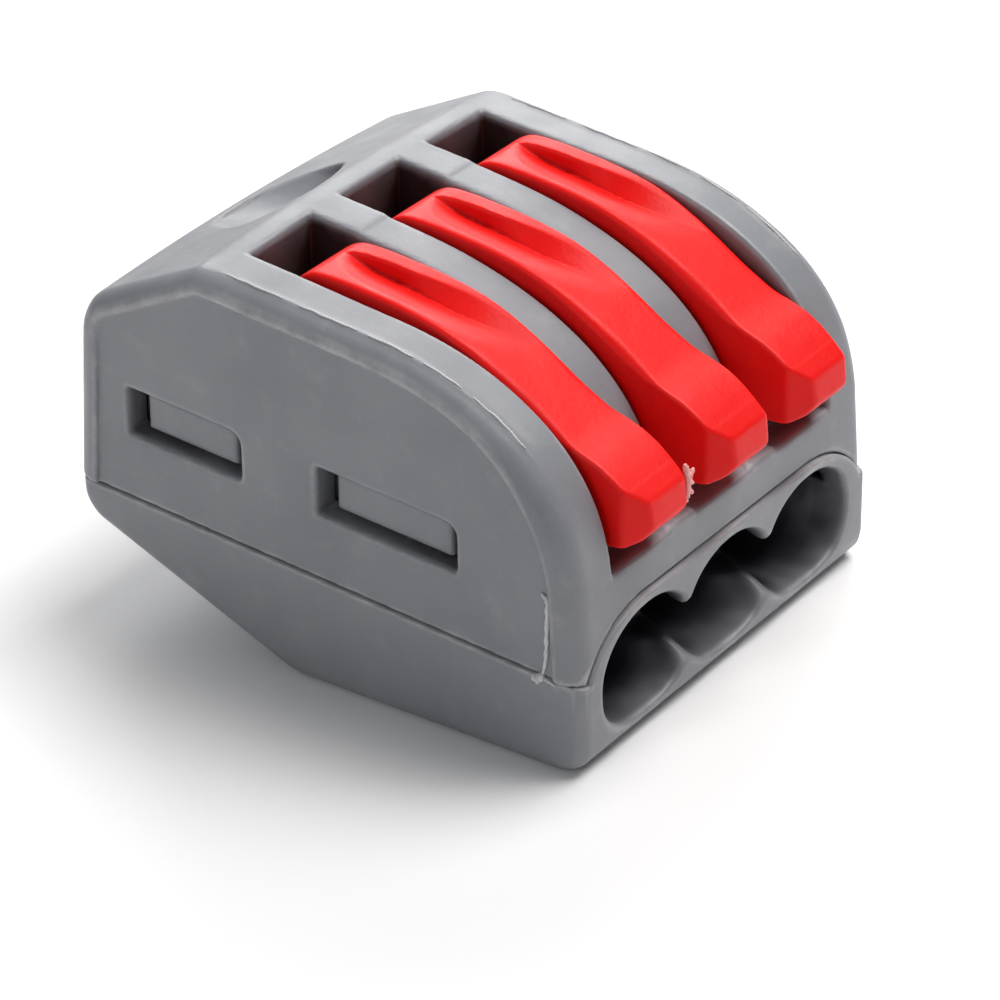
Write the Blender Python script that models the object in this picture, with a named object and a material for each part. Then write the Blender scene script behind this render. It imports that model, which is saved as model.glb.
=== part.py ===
"""Three-pole lever wire connector.

A grey snap-together housing holds one busbar and, for each pole, a cage-clamp spring and a red lever.
Lifting a lever turns its cam, which presses the clamp leg of the spring down and frees the wire.

Frame: X across the poles, -Y is the wire-entry side, +Z up, and the flat of the base rests on Z = 0.
Lengths are in millimetres here and become metres where vertices are made.
"""

import math

import bmesh
import bpy

MM = 0.001
HAIR = 0.001

# Poles
PITCH = 5.0
POLES = (-PITCH, 0.0, PITCH)
SLOT_HALF = 1.6
LEVER_HALF = 1.45

# Housing widths and gaps
HALF_WIDTH = 9.05
OUTSIDE = 10.0
LOWER_HALF_WIDTH = 8.9
PANEL_HALF_WIDTH = 8.87
CAVITY_HALF = 7.75
SKIRT_OUTER = 7.6
SKIRT_INNER = 6.95
HOUSING_GAP = 0.1
CHEEK_INNER = PITCH + SLOT_HALF
SIDE_ROUND = 0.95
TOP_CROWN = 0.3
CROWN_STATIONS = (-1.0, -0.6, -0.25, 0.25, 0.6, 1.0)
CROWN_FROM = 9.0
CROWN_BLEND = 3.0
BASE_ROUND = 0.4
ROUND_SEGMENTS = 3
RIM_WIDTH = 1.05

# Parting line between the two housings: it falls gently towards the wire entries
PARTING_HEIGHT = 4.215
PARTING_SLOPE = 0.075
PARTING_BAND = 0.2

# Housing outline, seen from the side
REAR_Y = 10.8
REAR_FOOT = (REAR_Y, PARTING_HEIGHT + PARTING_SLOPE * REAR_Y)
REAR_HEAD = (10.3, 11.3)
REAR_SHOULDER = ((10.12, 11.9), (9.7, 12.35))
RIDGE = ((5.5, 14.42), (5.2, 14.5), (4.9, 14.48))
CHEEK_CURVE = ((-1.5, 13.85), (-6.3, 13.35), (-9.5, 11.0), (-9.95, 6.8))
FRONT_FACE = -10.25
FRONT_FOOT = (-10.2, PARTING_HEIGHT - PARTING_SLOPE * 10.2)
PARTITION_START = (2.4, 14.24)
PARTITION_CURVE = ((0.8, 13.98), (-3.0, 13.3), (-7.1, 11.9), (-8.3, 7.8))
CURVE_STEPS = 10

# Slots and the deck under the lever tips
SLOT_REAR = 4.5
SLOT_OVERLAP = 0.3
OVERHEAD = 16.0
CAVITY_ROOF = 9.4
DECK_REAR = -5.2
DECK_LINE = ((DECK_REAR, 9.1), (-8.0, 7.35), (-9.0, 6.85), (-11.5, 6.7))
DECK_UNDERSIDE = 5.6
WALL_INNER_TOP = (9.2, CAVITY_ROOF)
WALL_INNER_FOOT = (9.5, 0.0)
REAR_SPACE = ((5.8, 9.2), (5.8, 12.45), (8.7, 11.2), (9.1, 9.2))
COLLAR_REAR = -9.1

# Latch windows: rear and front ends along Y, and heights above the parting line
WINDOWS = ((8.35, 3.6), (0.45, -5.2))
WINDOW_LOW = 2.45
WINDOW_HIGH = 4.2
TAB_SETBACK = 0.55
TAB_GAP = 0.15
TAB_ROOT = 7.3
TAB_FACE = 8.45
SKIRT = ((-5.8, 2.5), (8.6, 3.5), (8.6, 9.2), (-5.05, 9.2), (-5.05, 4.8), (-5.8, 4.8))

# Test-probe recess in the rear slope
PROBE_CENTRE = -1.55
PROBE_HALF_WIDTH = 2.3
PROBE_RECESS = ((5.75, 14.9), (5.75, 13.45), (6.3, 13.1), (7.6, 12.85), (9.1, 12.55), (9.1, 14.9))

# Lower housing
LOWER_REAR = REAR_Y - 0.15
KEEL = 1.7
FLOOR = 1.0
FLOOR_SLOPE = 0.42
FUNNEL_BLOCK_FRONT = -9.7
FUNNEL_BLOCK = ((-7.2, 2.0), (7.2, 2.0), (7.2, 4.5), (6.7, 5.0), (-6.7, 5.0), (-7.2, 4.5))
POCKET_HALF = 1.95
POCKET_REAR = 8.6
POCKET_TOP = 7.0
RIB_TOP = 4.6
FOOT = ((-9.2, 0.0), (-9.75, 0.16), (-10.12, 0.5), (FRONT_FACE, 1.0))
REAR_LIP = ((REAR_Y - 0.2, 4.3), (REAR_Y - 0.4, 3.85), (REAR_Y - 0.8, 3.45))

# Wire funnels
FUNNEL_HEIGHT = 2.85
MOUTH_HALF_WIDTH = 2.6
MOUTH_HALF_HEIGHT = 2.05
MOUTH_POWER = 2.6
MOUTH_GAP = ((-11.0, 1.35), (-10.2, 1.5), (-9.6, 1.95), (-9.0, 2.1), (-7.7, 2.1), (-7.7, 4.4), (-9.2, 4.4),
             (-9.5, 3.7), (-9.9, 3.3), (-11.0, 3.1))
MOUTH_GAP_HALF = 4.5
COLLAR_HALF_WIDTH = 3.5
COLLAR_HALF_HEIGHT = 2.45
COLLAR_FOOT = 3.0
THROAT_RADIUS = 1.65
THROAT = -7.0
FUNNEL_STATIONS = ((-10.75, 0.0), (-10.25, 0.0), (-9.2, 0.45), (-8.2, 0.8), (THROAT, 1.0), (-4.9, 1.0))
FUNNEL_SIDES = 28
COLLAR_STEPS = 12

# Busbar
BAR_LOW = 4.7
BAR_HIGH = 5.5
BAR_REAR = 1.8
BAR_FRONT = -0.6
BAR_HALF_LENGTH = 6.8
TONGUE_FRONT = -5.0
TONGUE_HALF = 1.1

# Cage-clamp springs
STRIP = 0.4
BOW_CENTRE = (5.7, 7.4)
BOW_RADIUS = 1.6
BOW_HALF_WIDTH = 1.5
BASE_FRONT = -0.4
BASE_MIDDLE = 2.5
BEND_STEPS = 12
BOW_END = 75.0
LEG_START = 85.0
LEG_Y = -4.2
LEG_BEND = 0.5
LEG_BEND_STEPS = 5
LEG_BOTTOM = 3.9
LEG_HALF_WIDTH = 1.85
WINDOW_HALF = 1.45
BAIL_TOP = 4.62
LEG_WINDOW_TOP = 8.4

# Levers
HINGE = (0.7, 11.3)
LEVER_TRAVEL = 100.0
LEG_RATIO = 0.15
CAM_CLEARANCE = 0.15
CAM_STEPS = 14
TRUNNION_RADIUS = 0.9
TRUNNION_REACH = 2.05
TRUNNION_STEPS = 23
TRUNNION_SWEEP = 345.0
GROOVE_RADIUS = 1.0
GROOVE_REACH = 2.15
GROOVE_STEPS = 10
LEVER_TOP = ((3.0, 13.5), (2.75, 13.8), (2.35, 14.05), (1.9, 14.16), (1.0, 14.15), (-1.0, 13.95),
             (-3.0, 13.53), (-4.8, 12.78), (-6.5, 11.78), (-7.95, 10.85), (-8.5, 10.64), (-9.75, 10.12))
LEVER_TIP = ((-10.35, 9.66), (-10.8, 8.9), (-10.8, 8.2), (-10.5, 7.75), (-10.0, 7.5), (-9.1, 7.5))
LEVER_UNDERSIDE = ((-8.0, 8.05), (-5.0, 9.75), (-1.2, 9.75))

# Finishes: colour, roughness, metallic
FINISHES = {
    "cover_grey": ((0.19, 0.19, 0.2), 0.42, 0.0),
    "base_grey": ((0.17, 0.17, 0.18), 0.42, 0.0),
    "lever_red": ((0.85, 0.01, 0.01), 0.38, 0.0),
    "spring_steel": ((0.6, 0.6, 0.6), 0.3, 1.0),
    "tinned_copper": ((0.75, 0.74, 0.72), 0.35, 1.0),
}


# --- Outlines -------------------------------------------------------------------------------------

def parting(y):
    """Height of the parting line at depth y."""
    return PARTING_HEIGHT + PARTING_SLOPE * y


def bezier(controls, steps):
    """Points along a cubic curve, both ends included."""
    points = []
    for step in range(steps + 1):
        t = step / steps
        weights = ((1 - t) ** 3, 3 * t * (1 - t) ** 2, 3 * t * t * (1 - t), t ** 3)
        points.append(tuple(sum(w * c[axis] for w, c in zip(weights, controls)) for axis in (0, 1)))
    return points


def superellipse(half_width, half_height, power, angle):
    """One point of a superellipse, at a parameter angle in radians."""
    across = math.cos(angle)
    up = math.sin(angle)
    x = math.copysign(abs(across) ** (2 / power), across) * half_width
    z = math.copysign(abs(up) ** (2 / power), up) * half_height
    return x, z


def inset(outline, distances):
    """Move each edge of a convex outline inwards; distances[i] is for the edge from point i to i + 1."""
    count = len(outline)
    area = sum(outline[i - 1][0] * outline[i][1] - outline[i][0] * outline[i - 1][1] for i in range(count))
    turn = math.copysign(1.0, area)
    lines = []
    for i, distance in enumerate(distances):
        (y0, z0), (y1, z1) = outline[i], outline[(i + 1) % count]
        length = math.hypot(y1 - y0, z1 - z0)
        normal = (-(z1 - z0) / length * turn, (y1 - y0) / length * turn)
        lines.append((normal, normal[0] * y0 + normal[1] * z0 + distance))
    points = []
    for i in range(count):
        (a, b), c = lines[i - 1]
        (d, e), f = lines[i]
        det = a * e - b * d
        points.append(((c * e - b * f) / det, (a * f - c * d) / det))
    return points


def strip_outline(path, thickness):
    """Outline of a bent strip of even thickness whose middle follows path."""
    left, right = [], []
    for i, (y, z) in enumerate(path):
        before = path[max(i - 1, 0)]
        after = path[min(i + 1, len(path) - 1)]
        dy, dz = after[0] - before[0], after[1] - before[1]
        length = math.hypot(dy, dz)
        oy, oz = -dz / length * thickness / 2, dy / length * thickness / 2
        left.append((y + oy, z + oz))
        right.append((y - oy, z - oz))
    return left + right[::-1]


def arc(centre, radius, start, end, steps):
    """Points on an arc, angles in degrees from +Y towards +Z."""
    points = []
    for step in range(steps + 1):
        angle = math.radians(start + (end - start) * step / steps)
        points.append((centre[0] + radius * math.cos(angle), centre[1] + radius * math.sin(angle)))
    return points


# --- Solids ---------------------------------------------------------------------------------------

def make_object(name, bm, origin=(0.0, 0.0, 0.0)):
    """Turn a bmesh in millimetres into an object in metres, with its origin at the given point."""
    bmesh.ops.translate(bm, verts=bm.verts, vec=[-value for value in origin])
    bmesh.ops.scale(bm, verts=bm.verts, vec=(MM, MM, MM))
    bmesh.ops.recalc_face_normals(bm, faces=bm.faces)
    mesh = bpy.data.meshes.new(name)
    bm.to_mesh(mesh)
    bm.free()
    obj = bpy.data.objects.new(name, mesh)
    obj.location = [value * MM for value in origin]
    bpy.context.scene.collection.objects.link(obj)
    return obj


def loft(rings):
    """A bmesh closed solid through rings that have the same number of points."""
    bm = bmesh.new()
    loops = [[bm.verts.new(point) for point in ring] for ring in rings]
    count = len(rings[0])
    for low, high in zip(loops, loops[1:]):
        for i in range(count):
            bm.faces.new((low[i - 1], low[i], high[i], high[i - 1]))
    bm.faces.new(loops[0][::-1])
    bm.faces.new(loops[-1])
    bmesh.ops.recalc_face_normals(bm, faces=bm.faces)
    return bm


def prism_x(outline, x_low, x_high):
    """A solid with a (y, z) outline, running along X."""
    return loft([[(x, y, z) for y, z in outline] for x in (x_low, x_high)])


def crowned_prism(outline, half_width):
    """A prism along X whose top falls a little towards both sides."""
    rings = []
    for station in CROWN_STATIONS:
        x = station * half_width
        drop = TOP_CROWN * station * station
        ring = []
        for y, z in outline:
            share = min(1.0, max(0.0, (z - CROWN_FROM) / CROWN_BLEND))
            ring.append((x, y, z - drop * share))
        rings.append(ring)
    return loft(rings)


def prism_y(outline, y_low, y_high):
    """A solid with an (x, z) outline, running along Y."""
    return loft([[(x, y, z) for x, z in outline] for y in (y_low, y_high)])


def box(low, high):
    """A rectangular block between two corners."""
    (x0, y0, z0), (x1, y1, z1) = low, high
    return prism_x([(y0, z0), (y1, z0), (y1, z1), (y0, z1)], x0, x1)


def boolean(target, name, bm, operation):
    """Cut a solid from the target, or join it on, and keep the solid as a hidden helper."""
    helper = make_object(f"{target.name}_{name}", bm)
    helper.hide_render = True
    helper.display_type = "WIRE"
    helper.hide_set(True)
    modifier = target.modifiers.new(name, "BOOLEAN")
    modifier.operation = operation
    modifier.object = helper
    modifier.solver = "EXACT"


def cut(target, name, bm):
    boolean(target, name, bm, "DIFFERENCE")


def join(target, name, bm):
    boolean(target, name, bm, "UNION")


def material(name, colour, roughness, metallic):
    """A plain Principled material."""
    mat = bpy.data.materials.new(name)
    mat.use_nodes = True
    shader = mat.node_tree.nodes["Principled BSDF"]
    shader.inputs["Base Color"].default_value = (*colour, 1.0)
    shader.inputs["Roughness"].default_value = roughness
    shader.inputs["Metallic"].default_value = metallic
    return mat


# --- Housings -------------------------------------------------------------------------------------

def upper_outline():
    """Side outline of the cover, from the rear foot over the ridge to the front foot."""
    return [REAR_FOOT, REAR_HEAD, *REAR_SHOULDER, *RIDGE, *bezier(CHEEK_CURVE, CURVE_STEPS), FRONT_FOOT]


def window_outline(rear, front, low, high):
    """A latch window or its tab, parallel to the parting line."""
    return [(rear, parting(rear) + low), (front, parting(front) + low),
            (front, parting(front) + high), (rear, parting(rear) + high)]


def collar_outline(gap):
    """Front collar round the three funnels, seen from the front: straight on top, with rounded ends."""
    half_width = COLLAR_HALF_WIDTH + gap
    half_height = COLLAR_HALF_HEIGHT + gap
    right = []
    for step in range(1, COLLAR_STEPS + 1):
        angle = math.pi / 2 * step / COLLAR_STEPS
        right.append((PITCH + half_width * math.cos(angle), FUNNEL_HEIGHT + half_height * math.sin(angle)))
    left = [(-x, z) for x, z in right[::-1]]
    end = PITCH + half_width
    return [*left, (-end, COLLAR_FOOT - gap), (end, COLLAR_FOOT - gap), *right]


def round_sides(bm, half_width, radius):
    """Round the long edges of a prism at both sides, except along the parting line."""
    edges = []
    for edge in bm.edges:
        a, b = (vert.co for vert in edge.verts)
        at_side = abs(abs(a.x) - half_width) < HAIR and abs(a.x - b.x) < HAIR
        on_parting = all(abs(point.z - parting(point.y)) < PARTING_BAND for point in (a, b))
        if at_side and not on_parting:
            edges.append(edge)
    bmesh.ops.bevel(bm, geom=edges, offset=radius, segments=ROUND_SEGMENTS, profile=0.5, affect="EDGES")


def make_upper_housing(mat):
    """Cover: rimmed side panels, three lever slots, latch windows and a probe recess."""
    outline = upper_outline()
    body = crowned_prism(outline, HALF_WIDTH)
    round_sides(body, HALF_WIDTH, SIDE_ROUND)
    cover = make_object("upper_housing", body)
    cover.data.materials.append(mat)

    distances = [RIM_WIDTH] * (len(outline) - 1) + [-RIM_WIDTH]
    panel = inset(outline, distances)
    for side in (-1, 1):
        cut(cover, f"panel_{side}", prism_x(panel, *sorted((side * PANEL_HALF_WIDTH, side * OUTSIDE))))
        for number, (rear, front) in enumerate(WINDOWS):
            hole = window_outline(rear, front, WINDOW_LOW, WINDOW_HIGH)
            depths = sorted((side * SKIRT_INNER, side * OUTSIDE))
            cut(cover, f"window_{side}_{number}", prism_x(hole, *depths))

    inside = [(COLLAR_REAR, 0.0), (COLLAR_REAR, DECK_UNDERSIDE), (DECK_REAR, DECK_UNDERSIDE),
              (DECK_REAR, CAVITY_ROOF), WALL_INNER_TOP, WALL_INNER_FOOT]
    cut(cover, "inside", prism_x(inside, -CAVITY_HALF, CAVITY_HALF))
    cut(cover, "rear_space", prism_x(REAR_SPACE, HOUSING_GAP - CAVITY_HALF, CAVITY_HALF - HOUSING_GAP))
    seat_front = FRONT_FACE - RIM_WIDTH
    cut(cover, "collar_seat", prism_y(collar_outline(HOUSING_GAP), seat_front, COLLAR_REAR + HOUSING_GAP))

    above = [(PARTITION_START[0], OVERHEAD), PARTITION_START, *bezier(PARTITION_CURVE, CURVE_STEPS),
             *DECK_LINE[2:], (DECK_LINE[-1][0], OVERHEAD)]
    cut(cover, "over_partitions", prism_x(above, -CHEEK_INNER, CHEEK_INNER))
    slot_floor = CAVITY_ROOF - SLOT_OVERLAP
    slot = [(SLOT_REAR, OVERHEAD), (SLOT_REAR, slot_floor), (DECK_REAR + HOUSING_GAP, slot_floor),
            *DECK_LINE, (DECK_LINE[-1][0], OVERHEAD)]
    for number, pole in enumerate(POLES, 1):
        cut(cover, f"slot_{number}", prism_x(slot, pole - SLOT_HALF, pole + SLOT_HALF))
        groove = arc(HINGE, GROOVE_RADIUS, 0.0, 180.0, GROOVE_STEPS)
        groove += [(HINGE[0] - GROOVE_RADIUS, slot_floor), (HINGE[0] + GROOVE_RADIUS, slot_floor)]
        cut(cover, f"groove_{number}", prism_x(groove, pole - GROOVE_REACH, pole + GROOVE_REACH))
    sides = (PROBE_CENTRE - PROBE_HALF_WIDTH, PROBE_CENTRE + PROBE_HALF_WIDTH)
    cut(cover, "probe_recess", prism_x(PROBE_RECESS, *sides))


def floor_height(y):
    """Height of the inner floor of the base."""
    return FLOOR + max(0.0, (y - KEEL) * FLOOR_SLOPE)


def make_lower_housing(mat):
    """Base: keel bottom, funnels with their collar, ribs, and a skirt whose tabs snap into the windows."""
    top_rear = (LOWER_REAR, parting(LOWER_REAR) - HOUSING_GAP)
    top_front = (FRONT_FACE, parting(FRONT_FACE) - HOUSING_GAP)
    outline = [top_rear, *REAR_LIP, (KEEL, 0.0), *FOOT, top_front]
    body = prism_x(outline, -LOWER_HALF_WIDTH, LOWER_HALF_WIDTH)
    round_sides(body, LOWER_HALF_WIDTH, BASE_ROUND)
    base = make_object("lower_housing", body)
    base.data.materials.append(mat)

    join(base, "collar", prism_y(collar_outline(0.0), FRONT_FACE - HAIR, COLLAR_REAR - HOUSING_GAP))
    join(base, "funnel_block", prism_y(FUNNEL_BLOCK, FUNNEL_BLOCK_FRONT, DECK_REAR - HOUSING_GAP))
    for side in (-1, 1):
        join(base, f"skirt_{side}", prism_x(SKIRT, *sorted((side * SKIRT_INNER, side * SKIRT_OUTER))))
        for number, (rear, front) in enumerate(WINDOWS):
            tab = window_outline(rear - TAB_SETBACK, front + TAB_GAP, WINDOW_LOW + TAB_GAP,
                                 WINDOW_HIGH - TAB_GAP)
            join(base, f"tab_{side}_{number}", prism_x(tab, *sorted((side * TAB_ROOT, side * TAB_FACE))))

    pocket = [(DECK_REAR, POCKET_TOP), (DECK_REAR, FLOOR), (KEEL, FLOOR),
              (POCKET_REAR, floor_height(POCKET_REAR)), (POCKET_REAR, POCKET_TOP)]
    above_ribs = box((-SKIRT_INNER, DECK_REAR, RIB_TOP), (SKIRT_INNER, POCKET_REAR, OVERHEAD))
    cut(base, "above_ribs", above_ribs)
    for number, pole in enumerate(POLES, 1):
        cut(base, f"pocket_{number}", prism_x(pocket, pole - POCKET_HALF, pole + POCKET_HALF))
        cut(base, f"funnel_{number}", make_funnel(pole))
    cut(base, "mouth_gap", prism_x(MOUTH_GAP, -MOUTH_GAP_HALF, MOUTH_GAP_HALF))


def make_funnel(pole):
    """Flared wire entry that narrows to a round throat and runs into the pocket."""
    rings = []
    for y, blend in FUNNEL_STATIONS:
        half_width = MOUTH_HALF_WIDTH + (THROAT_RADIUS - MOUTH_HALF_WIDTH) * blend
        half_height = MOUTH_HALF_HEIGHT + (THROAT_RADIUS - MOUTH_HALF_HEIGHT) * blend
        power = MOUTH_POWER + (2.0 - MOUTH_POWER) * blend
        ring = []
        for side in range(FUNNEL_SIDES):
            angle = 2 * math.pi * (side + 0.5) / FUNNEL_SIDES
            x, z = superellipse(half_width, half_height, power, angle)
            ring.append((pole + x, y, FUNNEL_HEIGHT + z))
        rings.append(ring)
    return loft(rings)


# --- Inner metal parts ----------------------------------------------------------------------------

def make_busbar(mat):
    """Tin-plated copper bar across the poles, with one tongue for each clamp."""
    outline = [(-BAR_HALF_LENGTH, BAR_REAR), (-BAR_HALF_LENGTH, BAR_FRONT)]
    for pole in POLES:
        outline += [(pole - TONGUE_HALF, BAR_FRONT), (pole - TONGUE_HALF, TONGUE_FRONT),
                    (pole + TONGUE_HALF, TONGUE_FRONT), (pole + TONGUE_HALF, BAR_FRONT)]
    outline += [(BAR_HALF_LENGTH, BAR_FRONT), (BAR_HALF_LENGTH, BAR_REAR)]
    bar = make_object("busbar", loft([[(x, y, z) for x, y in outline] for z in (BAR_LOW, BAR_HIGH)]))
    bar.data.materials.append(mat)


def make_spring(number, pole, mat):
    """Fixed bow on the busbar, and the moving clamp leg that turns about the bow's centre."""
    lower = BOW_CENTRE[1] - BOW_RADIUS
    path = [(BASE_FRONT, lower), (BASE_MIDDLE, lower),
            *arc(BOW_CENTRE, BOW_RADIUS, -90.0, BOW_END, BEND_STEPS)]
    bow = prism_x(strip_outline(path, STRIP), pole - BOW_HALF_WIDTH, pole + BOW_HALF_WIDTH)
    bow_object = make_object(f"spring_bow_{number}", bow)
    bow_object.data.materials.append(mat)

    upper = BOW_CENTRE[1] + BOW_RADIUS
    path = [*arc(BOW_CENTRE, BOW_RADIUS, LEG_START, 90.0, 1), (0.0, upper),
            *arc((LEG_Y + LEG_BEND, upper - LEG_BEND), LEG_BEND, 90.0, 180.0, LEG_BEND_STEPS),
            (LEG_Y, LEG_BOTTOM)]
    leg = prism_x(strip_outline(path, STRIP), pole - LEG_HALF_WIDTH, pole + LEG_HALF_WIDTH)
    leg_object = make_object(f"clamp_leg_{number}", leg, origin=(pole, *BOW_CENTRE))
    leg_object.data.materials.append(mat)
    window = box((pole - WINDOW_HALF, LEG_Y - 2 * STRIP, BAIL_TOP),
                 (pole + WINDOW_HALF, LEG_Y + 2 * STRIP, LEG_WINDOW_TOP))
    cut(leg_object, "window", window)


# --- Levers ---------------------------------------------------------------------------------------

def cam_outline():
    """Cam under the hub: at every lever angle it just clears the spring's arm in its matching place."""
    points = []
    reach_y = BOW_CENTRE[0] - HINGE[0]
    reach_z = HINGE[1] - BOW_CENTRE[1]
    arm_offset = BOW_RADIUS + STRIP / 2
    for step in range(CAM_STEPS + 1):
        turn = LEVER_TRAVEL * step / CAM_STEPS
        leg_turn = math.radians(turn * LEG_RATIO)
        radius = reach_y * math.sin(leg_turn) + reach_z * math.cos(leg_turn) - arm_offset - CAM_CLEARANCE
        angle = math.radians(270.0 + turn * (1 + LEG_RATIO))
        points.append((HINGE[0] + radius * math.cos(angle), HINGE[1] + radius * math.sin(angle)))
    return points


def make_lever(number, pole, mat):
    """Lever with its cam hub, grip tip and two trunnions."""
    outline = [*cam_outline(), *LEVER_TOP, *LEVER_TIP, *LEVER_UNDERSIDE]
    body = prism_x(outline, pole - LEVER_HALF, pole + LEVER_HALF)
    lever = make_object(f"lever_{number}", body, origin=(pole, *HINGE))
    lever.data.materials.append(mat)
    pin = arc(HINGE, TRUNNION_RADIUS, 0.0, TRUNNION_SWEEP, TRUNNION_STEPS)
    join(lever, "trunnions", prism_x(pin, pole - TRUNNION_REACH, pole + TRUNNION_REACH))


def main():
    for obj in list(bpy.data.objects):
        bpy.data.objects.remove(obj)
    finishes = {name: material(name, *look) for name, look in FINISHES.items()}
    make_upper_housing(finishes["cover_grey"])
    make_lower_housing(finishes["base_grey"])
    make_busbar(finishes["tinned_copper"])
    for number, pole in enumerate(POLES, 1):
        make_spring(number, pole, finishes["spring_steel"])
        make_lever(number, pole, finishes["lever_red"])


main()
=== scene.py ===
"""Looks for the three-pole lever wire connector.

The housings and levers are moulded shapes with soft edges. Each is described as a distance field in
millimetres, sampled on a grid and turned into a closed mesh. The metal parts keep their CAD meshes.
"""

import math

import bpy
import numpy as np
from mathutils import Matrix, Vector


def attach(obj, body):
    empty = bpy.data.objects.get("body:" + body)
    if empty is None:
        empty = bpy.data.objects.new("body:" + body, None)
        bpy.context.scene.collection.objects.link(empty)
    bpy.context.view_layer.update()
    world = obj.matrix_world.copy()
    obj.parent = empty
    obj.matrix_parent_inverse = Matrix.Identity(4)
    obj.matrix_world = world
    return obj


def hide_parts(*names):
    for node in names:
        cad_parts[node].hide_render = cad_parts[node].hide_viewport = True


MM = 0.001

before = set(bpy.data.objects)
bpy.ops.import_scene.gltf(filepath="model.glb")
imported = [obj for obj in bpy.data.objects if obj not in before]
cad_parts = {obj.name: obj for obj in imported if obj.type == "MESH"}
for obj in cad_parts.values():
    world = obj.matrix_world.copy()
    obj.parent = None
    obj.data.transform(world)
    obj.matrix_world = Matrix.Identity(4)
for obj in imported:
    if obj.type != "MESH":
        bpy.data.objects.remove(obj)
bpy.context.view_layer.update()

# --- Sizes in millimetres ---------------------------------------------------------------------------
# Most repeat the CAD part. The rear face, the base's rounding and the probe recess are finer here.

PITCH = 5.0
POLES = (-PITCH, 0.0, PITCH)
SLOT_HALF = 1.6
LEVER_HALF = 1.45
HALF_WIDTH = 9.05
LOWER_HALF_WIDTH = 8.9
PANEL_HALF_WIDTH = 8.87
CAVITY_HALF = 7.75
SKIRT_OUTER = 7.6
SKIRT_INNER = 6.95
GAP = 0.1
CHEEK_INNER = PITCH + SLOT_HALF
SIDE_ROUND = 0.95
BASE_ROUND = 0.45
RIM_WIDTH = 1.05
TOP_CROWN = 0.3
CROWN_FROM = 9.0
CROWN_BLEND = 3.0
PARTING_HEIGHT = 4.215
PARTING_SLOPE = 0.075
REAR_Y = 10.95
FRONT_FACE = -10.25
SLOT_REAR = 4.5
CAVITY_ROOF = 9.4
DECK_REAR = -5.2
DECK_LINE = [(DECK_REAR, 9.1), (-8.0, 7.35), (-9.0, 6.85), (-11.5, 6.7)]
DECK_UNDERSIDE = 5.6
COLLAR_REAR = -9.1
WINDOWS = ((8.35, 3.6), (0.45, -5.2))
WINDOW_LOW = 2.45
WINDOW_HIGH = 4.2
WINDOW_DEPTH_TO = 7.0
TAB_FACE = 8.45
PROBE_CENTRE = -1.55
PROBE_HALF = 2.75
PROBE_LIP = 5.66
WITNESS_X = 8.2
SEAM_SOFT = 0.09
SKIRT_TOP = 9.2
SKIRT_REAR = 8.6
POCKET_FLOOR = 1.0
POCKET_HALF = 1.95
FUNNEL_BLOCK_CENTRE = (-7.5, 3.5)
FUNNEL_BLOCK_HALF = (7.2, 2.2, 1.5)
KEEL = 1.7
FUNNEL_HEIGHT = 2.85
MOUTH_HALF = (2.6, 2.05)
MOUTH_POWERS = (2.05, 2.6)
COLLAR_HALF = (3.5, 2.45)
THROAT_RADIUS = 1.65
HINGE = (0.7, 11.3)
TRUNNION_RADIUS = 0.9
TRUNNION_HALF = 2.05
BEARING_RADIUS = 1.0
BEARING_HALF = 2.15
LEVER_OPEN = 100.0
CLAMP_RATIO = 0.15
BOW_CENTRE = (5.7, 7.4)
# Outer face of the spring's bow.
BOW_OUTER = 1.8
CAM_GAP = 0.15
CHEEK_CURVE = ((-1.5, 13.85), (-6.3, 13.35), (-9.5, 11.0), (-9.95, 6.8))
PARTITION_CURVE = ((0.8, 13.98), (-3.0, 13.3), (-7.1, 11.9), (-8.3, 7.8))

# --- Mesh and shading, in millimetres ---------------------------------------------------------------

GRID_STEP = 0.08
LEVER_GRID_STEP = GRID_STEP * 0.75
HOUSING_TRIANGLES = 190000
LEVER_TRIANGLES = 90000
# Thinning a mesh keeps the points on a lattice of this many grid cells, so no face grows long.
HOLD_CELLS = 5
# How far from an edge or a groove the surface is still paled, by wear and a painted highlight, or darkened by
# painted shade.
EDGE_REACH = 0.22
# Grooves on the outer sides, such as the window sills, get less painted shade than those inside.
SILL_FROM = 8.52
SILL_SHADE = 0.35
# Cavities get painted shade inside this half width, and the outer sides do not.
CAVITY_SHADE_TO = 8.3
CAVITY_SHADE_FADE = 0.5
CAVITY_SHADE_ROUNDS = 12
# Rays that look for cavities: how many, where they start and how far out they look for material.
RAYS = 72
RAY_LIFT = 0.1
RAY_STOPS = (0.25, 0.5, 0.85, 1.3, 1.9, 2.7, 3.7, 5.0)


# --- Flat outlines --------------------------------------------------------------------------------

def parting(y):
    """Height of the parting line at depth y."""
    return PARTING_HEIGHT + PARTING_SLOPE * y


def bezier(controls, steps=40):
    """Points along a cubic curve, both ends included."""
    points = []
    for step in range(steps + 1):
        t = step / steps
        weights = ((1 - t) ** 3, 3 * t * (1 - t) ** 2, 3 * t * t * (1 - t), t ** 3)
        points.append(tuple(sum(w * c[axis] for w, c in zip(weights, controls)) for axis in (0, 1)))
    return points


def arc(centre, radius, start, end, steps=24):
    """Points on an arc, angles in degrees from the first axis towards the second."""
    points = []
    for step in range(steps + 1):
        angle = math.radians(start + (end - start) * step / steps)
        points.append((centre[0] + radius * math.cos(angle), centre[1] + radius * math.sin(angle)))
    return points


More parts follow.
